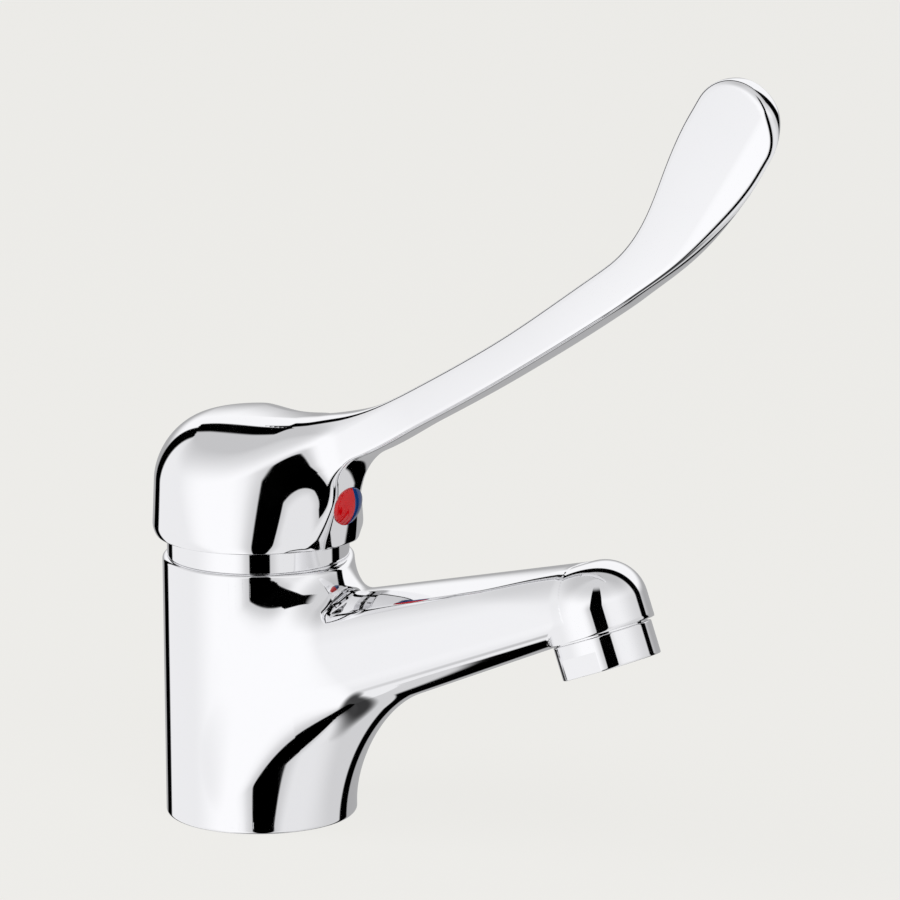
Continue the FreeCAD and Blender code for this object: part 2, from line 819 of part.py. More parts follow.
def aerator_grid():
    """Flow straightener just above the lip: a ring with crossed bars."""
    low = -collar_gap - collar_length + aerator_lip
    outer = aerator_bore - slip_fit
    bars = []
    for number in range(-grid_bars, grid_bars + 1):
        place = number * grid_pitch - grid_bar / 2
        bars.append(Part.makeBox(2 * outer, grid_bar, grid_bar_height, V(-outer, place, low)))
        bars.append(Part.makeBox(grid_bar, 2 * outer, grid_bar_height, V(place, -outer, low)))
    bars = bars[0].fuse(bars[1:]).common(cylinder(outer - grid_wall / 2, low, low + grid_bar_height))
    return tilted(tube(outer, outer - grid_wall, low, low + grid_height).fuse(bars))


def aerator_jets():
    """Disc with a circle of small jets."""
    low = grid_top
    solid = cylinder(aerator_bore - slip_fit, low, low + jets_thick)
    holes = []
    for number in range(jet_count):
        turn = 2 * math.pi * number / jet_count
        holes.append(cylinder(jet_radius, low - past, low + jets_thick + past,
                              jet_circle * math.cos(turn), jet_circle * math.sin(turn)))
    return tilted(solid.cut(holes))


def flow_regulator():
    low = grid_top + jets_thick
    return tilted(tube(aerator_bore - slip_fit, regulator_bore, low, low + regulator_thick))


def aerator_filter():
    """Coarse filter at the aerator's inlet: rings of round holes."""
    low = grid_top + jets_thick + regulator_thick
    solid = cylinder(aerator_bore - slip_fit, low, low + filter_thick)
    holes = [cylinder(filter_hole_radius, low - past, low + filter_thick + past)]
    for circle in (1, 2, 3):
        for number in range(6 * circle):
            turn = 2 * math.pi * number / (6 * circle)
            radius = circle * 3 * filter_hole_radius
            holes.append(cylinder(filter_hole_radius, low - past, low + filter_thick + past,
                                  radius * math.cos(turn), radius * math.sin(turn)))
    return tilted(solid.cut(holes))


mouth_bore = aerator_thread_length + washer_thick + slip_fit
grid_top = -collar_gap - collar_length + aerator_lip + grid_height

pieces = {
    "tap_body": tap_body(),
    "base_seal": base_seal(),
    "cartridge_base": cartridge_base(),
    "port_seals": port_seals(),
    "disc_seals": disc_seals(),
    "fixed_disc": fixed_disc(),
    "moving_disc": moving_disc(),
    "disc_carrier": disc_carrier(),
    "cartridge_housing": cartridge_housing(),
    "body_seal": body_seal(),
    "spindle_guide": spindle_guide(),
    "spindle_pin": spindle_pin(),
    "spindle": spindle(),
    "stop_ring": stop_ring(),
    "cartridge_nut": cartridge_nut(),
    "cover_ring": cover_ring(),
    "lever_handle": lever_handle(),
    "grub_screw": grub_screw(),
    "indicator_hot": indicator(-1),
    "indicator_cold": indicator(1),
    "aerator_housing": aerator_housing(),
    "aerator_washer": aerator_washer(),
    "aerator_grid": aerator_grid(),
    "aerator_jets": aerator_jets(),
    "flow_regulator": flow_regulator(),
    "aerator_filter": aerator_filter(),
}

os.makedirs("parts", exist_ok=True)
for name, shape in pieces.items():
    shape.exportStep("parts/" + name + ".step")
    print(name, len(shape.Solids), shape.isValid(), round(shape.Volume, 1))
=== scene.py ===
import math

import bmesh
import bpy
import numpy as np
from mathutils import Matrix, Vector


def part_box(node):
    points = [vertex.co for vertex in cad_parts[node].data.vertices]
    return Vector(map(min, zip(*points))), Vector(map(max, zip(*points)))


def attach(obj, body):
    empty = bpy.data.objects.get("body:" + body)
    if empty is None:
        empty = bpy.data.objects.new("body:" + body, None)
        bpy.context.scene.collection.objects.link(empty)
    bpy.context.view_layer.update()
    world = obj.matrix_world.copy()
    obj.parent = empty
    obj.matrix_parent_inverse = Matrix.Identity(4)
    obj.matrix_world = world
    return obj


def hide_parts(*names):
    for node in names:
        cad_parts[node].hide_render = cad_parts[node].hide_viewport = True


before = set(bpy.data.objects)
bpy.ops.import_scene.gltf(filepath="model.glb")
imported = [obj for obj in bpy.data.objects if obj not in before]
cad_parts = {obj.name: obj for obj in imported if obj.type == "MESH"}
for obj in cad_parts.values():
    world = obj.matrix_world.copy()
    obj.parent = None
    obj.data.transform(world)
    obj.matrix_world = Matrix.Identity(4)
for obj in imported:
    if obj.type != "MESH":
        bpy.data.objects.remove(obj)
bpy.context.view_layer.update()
mm = 0.001

# Camera: to the right of the spout and a little above it, far off with a long lens. Its turn,
# rise and roll are those at which the tap's ellipses and outlines have the shapes of the photo.
view_turn = math.radians(38.0)
view_rise = math.radians(13.1)
view_roll = math.radians(-0.45)
view_distance = 1.8
view_aim = (48.1 * mm, 90.0 * mm)
sight_end = 20.0
picture_width = 900
focal_pixels = 7140
sensor_width = 36.0

to_camera = Vector((math.sin(view_turn) * math.cos(view_rise),
                    -math.cos(view_turn) * math.cos(view_rise), math.sin(view_rise)))
level_right = Vector((math.cos(view_turn), math.sin(view_turn), 0.0))
steep_up = to_camera.cross(level_right)
camera_right = math.cos(view_roll) * level_right + math.sin(view_roll) * steep_up
camera_up = math.cos(view_roll) * steep_up - math.sin(view_roll) * level_right
camera_place = view_aim[0] * level_right + view_aim[1] * steep_up + view_distance * to_camera
lens = bpy.data.cameras.new("camera")
lens.sensor_width = sensor_width
lens.lens = sensor_width * focal_pixels / picture_width
lens.clip_end = sight_end
camera = bpy.data.objects.new("camera", lens)
turned = Matrix((camera_right, camera_up, to_camera)).transposed().to_4x4()
camera.matrix_world = Matrix.Translation(camera_place) @ turned
bpy.context.collection.objects.link(camera)
bpy.context.scene.camera = camera

# Light tent: the polished metal mirrors white cloth all round, with a dark gap where the camera
# looks in and a dark frame round a pale back wall. Rough surfaces get an even room light instead,
# and what the camera sees past the object is the plain background.
background = (0.855, 0.847, 0.82)
mirror_colour = (1.06, 1.06, 1.075)
room_colour, room_strength = (0.95, 0.95, 0.95), 0.55
gap_turn, gap_half = 3.0, math.radians(13.0)
wall_aim = (165.0, 8.0)
bpy.context.scene.view_settings.view_transform = "Standard"

# Each change of the tent's light is where it starts and ends, and the light at both. These run
# over the height that a direction points to, from -1 to 1.
top_fall, floor_fall = (0.25, 0.9, 1.0, 0.66), (-0.99, -0.93, 0.06, 1.0)
gap_end, low_part, wall_rise = (0.78, 0.93, 1.0, 0.0), (0.1, 0.5, 1.0, 0.0), (0.0, 0.3, 0.4, 0.95)
# These run over its turn from the gap's middle, in radians.
left_light, right_light = (-1.6, -0.9, 0.86, 1.0), (0.7, 1.6, 1.0, 0.8)
gap_left, gap_sides = (-2.6 * gap_half, -gap_half, 1.0, 0.8), (gap_half, 2.0 * gap_half, 0.78, 1.0)
gap_edge = (gap_half * 0.94, gap_half * 1.06, 1.0, 0.0)
# These run over the cosine of its angle to the back wall's middle.
wall_edge, frame_edge = (0.70, 0.73, 0.0, 1.0), (0.47, 0.52, 1.0, 0.0)


def node_tree(owner, output_type):
    """Empty node tree of a material or world, and its output node."""
    owner.use_nodes = True
    tree = owner.node_tree
    tree.nodes.clear()
    return tree, tree.nodes.new(output_type)


def calc(tree, operation, *values):
    """Result of one Math node on sockets or plain numbers."""
    node = tree.nodes.new("ShaderNodeMath")
    node.operation = operation
    for socket, value in zip(node.inputs, values):
        if isinstance(value, bpy.types.NodeSocket):
            tree.links.new(value, socket)
        else:
            socket.default_value = value
    return node.outputs[0]


def product(tree, first, *others):
    """All the values multiplied together, one after the other."""
    for other in others:
        first = calc(tree, "MULTIPLY", first, other)
    return first


def ease(tree, value, low, high, at_low, at_high):
    """Smooth S curve from at_low to at_high while a value goes from low to high.

    With t the share of the way, it has gone 3 t squared less 2 t cubed of its change.
    """
    node = tree.nodes.new("ShaderNodeMapRange")
    node.interpolation_type = "SMOOTHSTEP"
    tree.links.new(value, node.inputs["Value"])
    limits = {"From Min": low, "From Max": high, "To Min": at_low, "To Max": at_high}
    for name, number in limits.items():
        node.inputs[name].default_value = number
    return node.outputs[0]


def share_along(tree, vector, axis):
    """Dot product of a vector socket with a fixed axis."""
    node = tree.nodes.new("ShaderNodeVectorMath")
    node.operation = "DOT_PRODUCT"
    tree.links.new(vector, node.inputs[0])
    node.inputs[1].default_value = axis
    return node.outputs["Value"]


def aimed(turn, rise):
    """Unit vector at a turn to the right of the camera's side and a rise above the level, in degrees.

    It is the level direction times the rise's cosine, with the rise's sine as its height.
    """
    angle = math.radians(turn - 90) + view_turn
    level = math.cos(math.radians(rise))
    return (level * math.cos(angle), level * math.sin(angle), math.sin(math.radians(rise)))


def plain_light(tree, colour, strength):
    """Background node of one colour, with a strength that is a number or a socket."""
    node = tree.nodes.new("ShaderNodeBackground")
    node.inputs["Color"].default_value = (*colour, 1)
    if isinstance(strength, bpy.types.NodeSocket):
        tree.links.new(strength, node.inputs["Strength"])
    else:
        node.inputs["Strength"].default_value = strength
    return node.outputs[0]


def either(tree, share, first, second):
    """Mix of two shaders: the first where the share is 0, the second where it is 1."""
    node = tree.nodes.new("ShaderNodeMixShader")
    tree.links.new(share, node.inputs["Fac"])
    tree.links.new(first, node.inputs[1])
    tree.links.new(second, node.inputs[2])
    return node.outputs[0]


world = bpy.data.worlds.new("light_tent")
bpy.context.scene.world = world
sky, sky_output = node_tree(world, "ShaderNodeOutputWorld")
sky_heading = sky.nodes.new("ShaderNodeTexCoord").outputs["Generated"]
sky_height = share_along(sky, sky_heading, (0, 0, 1))
sky_turn = calc(sky, "ARCTAN2", share_along(sky, sky_heading, aimed(gap_turn + 90, 0)),
                share_along(sky, sky_heading, aimed(gap_turn, 0)))
off_gap = calc(sky, "ABSOLUTE", sky_turn)
upright_light = product(sky, ease(sky, sky_height, *top_fall), ease(sky, sky_height, *floor_fall))
side_light = product(sky, ease(sky, sky_turn, *left_light), ease(sky, sky_turn, *right_light))
near_gap = product(sky, ease(sky, sky_turn, *gap_left), ease(sky, off_gap, *gap_sides))
low_share = ease(sky, sky_height, *low_part)
near_gap = calc(sky, "ADD", product(sky, near_gap, low_share), calc(sky, "SUBTRACT", 1.0, low_share))
gap = product(sky, ease(sky, off_gap, *gap_edge), ease(sky, sky_height, *gap_end))
cloth = product(sky, upright_light, side_light, near_gap, calc(sky, "SUBTRACT", 1.0, gap))
off_wall = share_along(sky, sky_heading, aimed(*wall_aim))
wall_light = product(sky, ease(sky, sky_height, *wall_rise), ease(sky, off_wall, *wall_edge))
tent = calc(sky, "ADD", product(sky, cloth, ease(sky, off_wall, *frame_edge)), wall_light)
sky_path = sky.nodes.new("ShaderNodeLightPath").outputs
lit = either(sky, sky_path["Is Glossy Ray"], plain_light(sky, room_colour, room_strength),
             plain_light(sky, mirror_colour, tent))
straight = calc(sky, "MAXIMUM", sky_path["Is Camera Ray"], sky_path["Is Transmission Ray"])
shown = either(sky, straight, lit, plain_light(sky, background, 1.0))
sky.links.new(shown, sky_output.inputs["Surface"])

# Floor and lamps: a sheet of pale paper that keeps a faint shadow, and two soft square lamps in
# front. None of them is seen in the metal, where the photo shows no floor either.
paper_colour = (0.8, 0.795, 0.78)
paper_seen_plain = 0.94
floor_half = 6.0
lamps = (("soft_left", (-0.9, -0.9, 1.1), 1.0, 14.0), ("soft_right", (1.1, -0.7, 0.9), 0.8, 8.0))
lamp_aim = Vector((0.04, 0.0, 0.08))

floor_material = bpy.data.materials.new("floor")
floor_tree, floor_output = node_tree(floor_material, "ShaderNodeOutputMaterial")
paper = floor_tree.nodes.new("ShaderNodeBsdfDiffuse")
paper.inputs["Color"].default_value = (*paper_colour, 1)
plain_paper = floor_tree.nodes.new("ShaderNodeEmission")
plain_paper.inputs["Color"].default_value = (*background, 1)
floor_path = floor_tree.nodes.new("ShaderNodeLightPath").outputs
plain_share = calc(floor_tree, "MULTIPLY", floor_path["Is Camera Ray"], paper_seen_plain)
floor_shader = either(floor_tree, plain_share, paper.outputs[0], plain_paper.outputs[0])
floor_tree.links.new(floor_shader, floor_output.inputs["Surface"])
floor_mesh = bpy.data.meshes.new("floor")
floor_corners = [(-floor_half, -floor_half, 0), (floor_half, -floor_half, 0),
                 (floor_half, floor_half, 0), (-floor_half, floor_half, 0)]
floor_mesh.from_pydata(floor_corners, [], [(0, 1, 2, 3)])
floor_mesh.materials.append(floor_material)
floor = bpy.data.objects.new("floor", floor_mesh)
floor.visible_glossy = False
bpy.context.collection.objects.link(floor)

for name, place, size, power in lamps:
    lamp = bpy.data.lights.new(name, "AREA")
    lamp.size = size
    lamp.energy = power
    holder = bpy.data.objects.new(name, lamp)
    holder.location = place
    holder.rotation_euler = (lamp_aim - Vector(place)).to_track_quat("-Z", "Y").to_euler()
    holder.visible_glossy = False
    bpy.context.collection.objects.link(holder)

# Body: one brass casting of an upright cylinder, a spout with flat sides and crowned top and
# belly, and a round nose over the mouth. It is polished and chrome plated, and stands on the
# deck. A line is given by a point on it, as x and height, and its slope.
body_radius = 24.0 * mm
body_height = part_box("cover_ring")[0].z
rim_round, lip_round = 0.9 * mm, 0.4 * mm
crest_line = (51.6 * mm, 66.5 * mm, 0.244)
belly_line = (51.3 * mm, 38.2 * mm, 0.435)
half_width_line = (25.0 * mm, 15.4 * mm, -0.025)
crest_drop_line = (50.0 * mm, 5.2 * mm, -0.056)
belly_lift_line = (50.0 * mm, 6.0 * mm, -0.05)
bulge_flatness = 0.25
top_edge, low_edge, nose_side_round = 4.0 * mm, 3.0 * mm, 8.9 * mm
soften_length = 30.0 * mm
mouth, mouth_tilt = np.array((107.0, 0.0, 62.4)) * mm, math.radians(21.0)
nose_radius, nose_height, nose_round = 13.4 * mm, 17.0 * mm, 10.5 * mm
nose_join = 0.4 * mm
root_fillet, keel_fillet, neck_fillet = 9.5 * mm, 27.0 * mm, 11.5 * mm
fillet_change = (-15.0 * mm, 12.0 * mm)
fillet_start, least_fillet = (-16.0 * mm, 10.0 * mm), 0.01 * mm
rim_over_crest = 3.0 * mm
weld = 0.0005 * mm


def rise_over(value, low, high):
    """0 below low, 1 above high, and between them 3 t squared less 2 t cubed of the share t."""
    share = np.clip((value - low) / (high - low), 0, 1)
    return share * share * (3 - 2 * share)


def round_cut(a, b, r):
    """What lies inside both of two fields, with their edge rounded to radius r.

    It is the larger field, but at most -r, plus the hypotenuse of r plus each, where above 0.
    """
    return np.minimum(-r, np.maximum(a, b)) + np.hypot(np.maximum(r + a, 0), np.maximum(r + b, 0))


def round_join(a, b, r):
    """What lies inside either of two fields, with a hollow fillet of radius r between them.

    It is the smaller field, but at least r, less the hypotenuse of r less each, where above 0.
    """
    return np.maximum(r, np.minimum(a, b)) - np.hypot(np.maximum(r - a, 0), np.maximum(r - b, 0))


def soft_join(a, b, width):
    """Smaller of two fields, less the square of what their difference lacks of width over 4 widths."""
    return np.minimum(a, b) - np.maximum(width - np.abs(a - b), 0) ** 2 / (4 * width)


def along(line, x):
    """Height of a straight line: that of its own point, plus its slope times the way from there."""
    return line[1] + line[2] * (x - line[0])


def mouth_frame(p):
    """Height along the mouth's axis, distance forward across it, and distance from it.

    The first two are the way from the mouth turned back by its tilt, the third is the
    hypotenuse of forward and sideways.
    """
    off = p - mouth
    height = -off[..., 0] * math.sin(mouth_tilt) + off[..., 2] * math.cos(mouth_tilt)
    forward = off[..., 0] * math.cos(mouth_tilt) + off[..., 2] * math.sin(mouth_tilt)
    return height, forward, np.hypot(forward, off[..., 1])


def body_field(p):
    """Distance-like field of the body, negative inside.

    The spout is what lies between two flat sides, under the crest and over the belly, with
    rounded edges. Crest and belly bend away from their lines with the square of the share of
    the half width, and level off past the sides. The spout is joined to the nose, then to the
    cylinder with a hollow fillet that is wider over the crest, widest under the belly and gone
    at the back.
    """
    x, y, z = p[..., 0], p[..., 1], p[..., 2]
    cylinder = np.hypot(x, y) - body_radius
    half = along(half_width_line, np.maximum(x, half_width_line[0]))
    across = y / half
    bulge = (1 + bulge_flatness) * across ** 2 / (1 + bulge_flatness * across ** 4)
    sides = np.abs(y) - half
    drop = along(crest_drop_line, x)
    top = z - along(crest_line, x) + drop * bulge
    side_slope = 2 * drop * np.minimum(np.abs(across), 1) / half
    top = top / np.sqrt(1 + crest_line[2] ** 2 + side_slope ** 2)
    lift = along(belly_lift_line, x) * bulge
    low = (along(belly_line, x) + lift - z) / math.hypot(1, belly_line[2])
    softer = rise_over(x, mouth[0] - soften_length, mouth[0])
    edge = top_edge + (nose_side_round - top_edge) * softer
    spout = round_cut(round_cut(sides, top, edge), low, low_edge)
    height, forward, away = mouth_frame(p)
    spout = np.maximum(np.maximum(spout, forward), -x)
    nose = round_cut(away - nose_radius, height - nose_height, nose_round)
    nose = round_cut(nose, -height, lip_round)
    spout = soft_join(spout, nose, nose_join)
    spout = np.maximum(spout, -np.maximum(away - nose_radius, height))
    under = rise_over(low - sides, *fillet_change)
    over = rise_over(top - sides, *fillet_change)
    fillet = root_fillet + (keel_fillet - root_fillet) * under + (neck_fillet - root_fillet) * over
    fillet = fillet * rise_over(x, *fillet_start) + least_fillet
    whole = round_join(cylinder, spout, fillet)
    rim = np.minimum(z - body_height, z - along(crest_line, x) - rim_over_crest)
    return round_cut(round_cut(whole, rim, rim_round), -z, rim_round)


def cast(field, start, heading, reach, steps=49, halvings=30):
    """Points where rays from inside first leave the field: even steps, then halving."""
    lengths = np.linspace(0, reach, steps)
    start, heading = np.broadcast_arrays(start, heading)
    values = field(start[..., None, :] + heading[..., None, :] * lengths[:, None])
    first = np.argmax(values > 0, axis=-1)
    near, far = lengths[np.maximum(first - 1, 0)], lengths[first]
    for _ in range(halvings):
        middle = (near + far) / 2
        outside = field(start + heading * middle[..., None]) > 0
        near, far = np.where(outside, near, middle), np.where(outside, middle, far)
    return start + heading * ((near + far) / 2)[..., None]


def compass(angle):
    """Level unit vectors at these angles from +X: cosine along X, sine along Y."""
    return np.stack([np.cos(angle), np.sin(angle), np.zeros_like(angle)], -1)


def unit(vectors):
    """Vectors divided by their own lengths."""
    return vectors / np.linalg.norm(vectors, axis=-1, keepdims=True)


def fan(inner, outer, centre, field, rows, reach):
    """Skin between two closed loops: rays from a centre, turned evenly from one loop to the other.

    At a share t of the angle between two rays, the ray is the first times the sine of the
    angle left plus the second times the sine of the angle gone.
    """
    a, b = unit(inner - centre), unit(outer - centre)
    angle = np.arccos(np.clip((a * b).sum(-1, keepdims=True), -1, 1))
    t = np.linspace(0, 1, rows)[1:-1, None, None]
    heading = unit((a * np.sin((1 - t) * angle) + b * np.sin(t * angle)) / np.sin(angle))
    skin = cast(field, centre, heading, reach)
    return np.concatenate([inner[None], skin, outer[None]])


def outward(field, points, step=0.01 * mm, least=1e-12):
    """Unit vectors out of the surface: the field's differences along X, Y and Z over their length."""
    slopes = [field(points + step * axis) - field(points - step * axis) for axis in np.eye(3)]
    slope = np.stack(slopes, -1)
    return slope / np.maximum(np.linalg.norm(slope, axis=-1, keepdims=True), least)


def grid_faces(rows, columns, closed, first):
    """Four-cornered faces of a grid of points numbered row by row, from the first number on."""
    index = first + np.arange(rows * columns).reshape(rows, columns)
    if closed:
        index = np.concatenate([index, index[:, :1]], axis=1)
    corners = (index[:-1, :-1], index[:-1, 1:], index[1:, 1:], index[1:, :-1])
    return np.stack(corners, -1).reshape(-1, 4)


def inner_faces(node, keep):
    """Mesh of those faces of a solid whose centres pass a test: its bores, threads and hollows."""
    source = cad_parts[node].data
    points = np.zeros(len(source.vertices) * 3)
    source.vertices.foreach_get("co", points)
    points = points.reshape(-1, 3)
    faces = [tuple(face.vertices) for face in source.polygons]
    centres = np.array([points[list(face)].mean(0) for face in faces])
    kept = [faces[number] for number in np.flatnonzero(keep(centres))]
    mesh = bpy.data.meshes.new(node + "_inside")
    mesh.from_pydata(points.tolist(), [], kept)
    return mesh


def skin_mesh(name, patches, field, inside):
    """Mesh of grids of points, each (points, closed), welded where they meet.

    Faces are turned to match the field, and its slope gives the skin's shading. The faces of
    the inside mesh are added as they are. Points numbered from skin_count on are shaded by the
    faces round them: most of the inside's points, and the skin's last ones where points of the
    inside have filled places that the weld freed.
    """
    points, faces, first = [], [], 0
    for grid, closed in patches:
        quads = grid_faces(grid.shape[0], grid.shape[1], closed, first)
        flat = grid.reshape(-1, 3)
        corners = flat[quads - first]
        tilt = np.cross(corners[:, 2] - corners[:, 0], corners[:, 3] - corners[:, 1])
        agree = (tilt * outward(field, corners.mean(1))).sum()
        points.append(flat)
        faces.append(quads if agree > 0 else quads[:, ::-1])
        first += len(flat)
    mesh = bpy.data.meshes.new(name)
    mesh.from_pydata(np.concatenate(points).tolist(), [], np.concatenate(faces).tolist())
    builder = bmesh.new()
    builder.from_mesh(mesh)
    bmesh.ops.remove_doubles(builder, verts=builder.verts, dist=weld)
    skin_count = len(builder.verts)
    builder.from_mesh(inside)
    loose = [vertex for vertex in builder.verts if not vertex.link_faces]
    bmesh.ops.delete(builder, geom=loose, context="VERTS")
    builder.to_mesh(mesh)
    builder.free()
    mesh.shade_smooth()
    places = np.zeros(len(mesh.vertices) * 3)
    mesh.vertices.foreach_get("co", places)
    normals = outward(field, places.reshape(-1, 3))
    normals[skin_count:] = 0
    mesh.normals_split_custom_set_from_vertices(normals.tolist())
    return mesh


def add_piece(name, mesh, body, material, node):
    """Object for a mesh, with its material, the body it rides on and its solid."""
    mesh.materials.append(material)
    piece = bpy.data.objects.new(name, mesh)
    bpy.context.collection.objects.link(piece)
    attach(piece, body)
    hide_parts(node)
    return piece


def surface(name, colour, roughness, metallic):
    """Node material, its tree, its Principled shader and its object coordinates."""
    material = bpy.data.materials.new(name)
    tree, output = node_tree(material, "ShaderNodeOutputMaterial")
    shader = tree.nodes.new("ShaderNodeBsdfPrincipled")
    shader.inputs["Base Color"].default_value = (*colour, 1)
    shader.inputs["Roughness"].default_value = roughness
    shader.inputs["Metallic"].default_value = metallic
    tree.links.new(shader.outputs[0], output.inputs["Surface"])
    return material, tree, shader, tree.nodes.new("ShaderNodeTexCoord").outputs["Object"]


def noise(tree, place, scale, detail=2.0):
    """Noise texture's value, from 0 to 1."""
    node = tree.nodes.new("ShaderNodeTexNoise")
    node.inputs["Scale"].default_value = scale
    node.inputs["Detail"].default_value = detail
    tree.links.new(place, node.inputs["Vector"])
    return node.outputs["Fac"]


def raise_by(tree, shader, height, strength, depth):
    """Bump on a shader's normal: a height from 0 to 1 stands for a depth in metres."""
    node = tree.nodes.new("ShaderNodeBump")
    node.inputs["Strength"].default_value = strength
    node.inputs["Distance"].default_value = depth
    tree.links.new(height, node.inputs["Height"])
    tree.links.new(node.outputs[0], shader.inputs["Normal"])


def polished_chrome(name, tint, low_roughness, high_roughness):
    """Chrome whose roughness follows a fine noise, as wear, and whose bump a coarse one, as waves."""
    wear_scale, wear_detail, wear_range = 140.0, 6.0, (0.35, 0.75)
    wave_scale, wave_strength, wave_depth = 60.0, 0.02, 0.5 * mm
    material, tree, shader, place = surface(name, tint, low_roughness, 1.0)
    wear = noise(tree, place, wear_scale, wear_detail)
    rough = ease(tree, wear, *wear_range, low_roughness, high_roughness)
    tree.links.new(rough, shader.inputs["Roughness"])
    raise_by(tree, shader, noise(tree, place, wave_scale), wave_strength, wave_depth)
    return material


chrome = polished_chrome("chrome", (0.91, 0.91, 0.92), 0.025, 0.06)

# The body's skin is a net of patches: the root from a ring round the spout to a frame on the
# wall, the wall behind it, rim and foot, the spout's length, and the nose down to the mouth.
wall_turn = math.radians(70)
wall_low, wall_high = 1.5 * mm, body_height - 2.0 * mm
across_count, down_count, back_count = 88, 56, 177
loop_count = 2 * (across_count + down_count)
root_rows, edge_rows, spout_rows, nose_rows = 73, 13, 81, 81
seam_x, nose_seam_x = 30.0 * mm, 88.0 * mm
seam_centre = np.array((30.0, 0.0, 42.0)) * mm
root_centre = np.array((8.0, 0.0, 44.0)) * mm
nose_centre = np.array((98.0, 0.0, 67.0)) * mm
body_rim_start, body_foot_start = 22.0 * mm, 23.1 * mm
chamber_bore, mouth_bore = 19.8 * mm, 11.6 * mm
wall_reach, root_reach, spout_reach, edge_reach = 60 * mm, 90 * mm, 40 * mm, 20 * mm


def on_wall(angle, z):
    """Points of the body's skin straight out from its axis, at angles and heights."""
    angle, z = np.broadcast_arrays(angle, z)
    start = np.stack([0 * z, 0 * z, z], -1)
    return cast(body_field, start, compass(angle), wall_reach)


def edge_strip(row, field, centre_radius, face_z, count):
    """Strip from a row on the wall round its edge to a level face.

    Rays start on a circle about Z at the row's height and turn from level to upright, each in
    the upright plane of its own point.
    """
    out = compass(np.arctan2(row[:, 1], row[:, 0]))
    centre = centre_radius * out
    centre[:, 2] = row[:, 2]
    side = math.copysign(math.pi / 2, face_z - row[0, 2])
    turn = np.linspace(0, side, count)[1:, None, None]
    heading = np.cos(turn) * out + np.sin(turn) * np.array((0, 0, 1.0))
    return np.concatenate([row[None], cast(field, centre, heading, edge_reach)])


def flat_ring(row, radius):
    """Level ring from a row to a circle about Z, at the row's height."""
    inner = radius * compass(np.arctan2(row[:, 1], row[:, 0]))
    inner[:, 2] = row[:, 2]
    return np.stack([row, inner])


loop_turns = 2 * np.pi * np.arange(loop_count) / loop_count
slice_headings = np.stack([0 * loop_turns, np.sin(loop_turns), np.cos(loop_turns)], -1)
root_loop = cast(body_field, seam_centre, slice_headings, wall_reach)
front_angles = np.linspace(0, wall_turn, across_count // 2 + 1)
wall_levels = np.linspace(wall_high, wall_low, down_count + 1)
wall_loop = np.concatenate([
    on_wall(front_angles, wall_high),
    on_wall(wall_turn, wall_levels[1:]),
    on_wall(front_angles[::-1][1:], wall_low),
    on_wall(-front_angles[1:], wall_low),
    on_wall(-wall_turn, wall_levels[::-1][1:]),
    on_wall(-front_angles[::-1][1:-1], wall_high),
])
root_skin = fan(root_loop, wall_loop, root_centre, body_field, root_rows, root_reach)

back_angles = np.linspace(wall_turn, 2 * math.pi - wall_turn, back_count)
back_skin = on_wall(back_angles[None, :], wall_levels[:, None])
round_angles = np.concatenate([back_angles, (front_angles[:-1] - wall_turn)[1:],
                               front_angles[:-1]])
rim_row, foot_row = on_wall(round_angles, wall_high), on_wall(round_angles, wall_low)
rim_skin = edge_strip(rim_row, body_field, body_rim_start, body_height, edge_rows)
foot_skin = edge_strip(foot_row, body_field, body_foot_start, 0.0, edge_rows)

spout_stations = np.linspace(seam_x, nose_seam_x, spout_rows)
spout_middle = (along(crest_line, spout_stations) + along(belly_line, spout_stations)) / 2
spout_centres = np.stack([spout_stations, 0 * spout_stations, spout_middle], -1)
spout_centres[0] = seam_centre
spout_skin = cast(body_field, spout_centres[:, None, :], slice_headings[None], spout_reach)
spout_skin[0] = root_loop

sideways = np.array((0, 1.0, 0))
mouth_forward = np.array((math.cos(mouth_tilt), 0, math.sin(mouth_tilt)))
lip_radius = nose_radius - 2 * lip_round
mouth_loop = mouth + lip_radius * (np.cos(loop_turns)[:, None] * mouth_forward
                                   + np.sin(loop_turns)[:, None] * sideways)
nose_skin = fan(spout_skin[-1], mouth_loop, nose_centre, body_field, nose_rows, spout_reach)
mouth_ring = np.stack([mouth_loop, mouth + (mouth_loop - mouth) * mouth_bore / lip_radius])


def inside_body(points, cover=1.0 * mm, foot_slack=0.01 * mm):
    """True for the foot's flat face and for what lies deeper than the cover under the skin."""
    return (body_field(points) < -cover) | (points[:, 2] < foot_slack)


body_mesh = skin_mesh("body", [(root_skin, True), (back_skin, False), (rim_skin, True),
                               (flat_ring(rim_skin[-1], chamber_bore), True), (foot_skin, True),
                               (spout_skin, True), (nose_skin, True), (mouth_ring, True)],
                      body_field, inner_faces("tap_body", inside_body))
add_piece("body_casting", body_mesh, "fixed", chrome, "tap_body")

# Lever: one hollow casting, polished and chrome plated, that a grub screw clamps to the spindle.
# A round dome covers the cartridge, a narrow blade at its front holds the indicator and turns up
# into the long stem, and the stem ends in a flat round paddle.
rim_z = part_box("lever_handle")[0].z
rim_edge = 0.4 * mm
dome_radius, dome_taper = 26.3 * mm, 0.047
dome_height, crown_radius = 30.8 * mm, 113.0 * mm
shoulder_round, shoulder_fade = 13.5 * mm, (-2.0 * mm, 48.0 * mm)
tuck, tuck_height = 1.0 * mm, 3.0 * mm
flat_heading, flat_reach, flat_level, flat_slope = math.radians(25), 22.4 * mm, 24.0 * mm, 0.38
flat_round = 6.0 * mm
blade_reach, blade_slope, blade_face_radius = 26.8 * mm, 0.21, 33.0 * mm
blade_thinning, thinning_depths = 3.2 * mm, (5.0 * mm, 16.0 * mm)
flank_start_round, side_blend, top_blend = 8.0 * mm, 9.0 * mm, 4.0 * mm
under_fillet, ridge_round, ridge_fade = 5.0 * mm, 1.2 * mm, (20.0 * mm, 30.0 * mm)
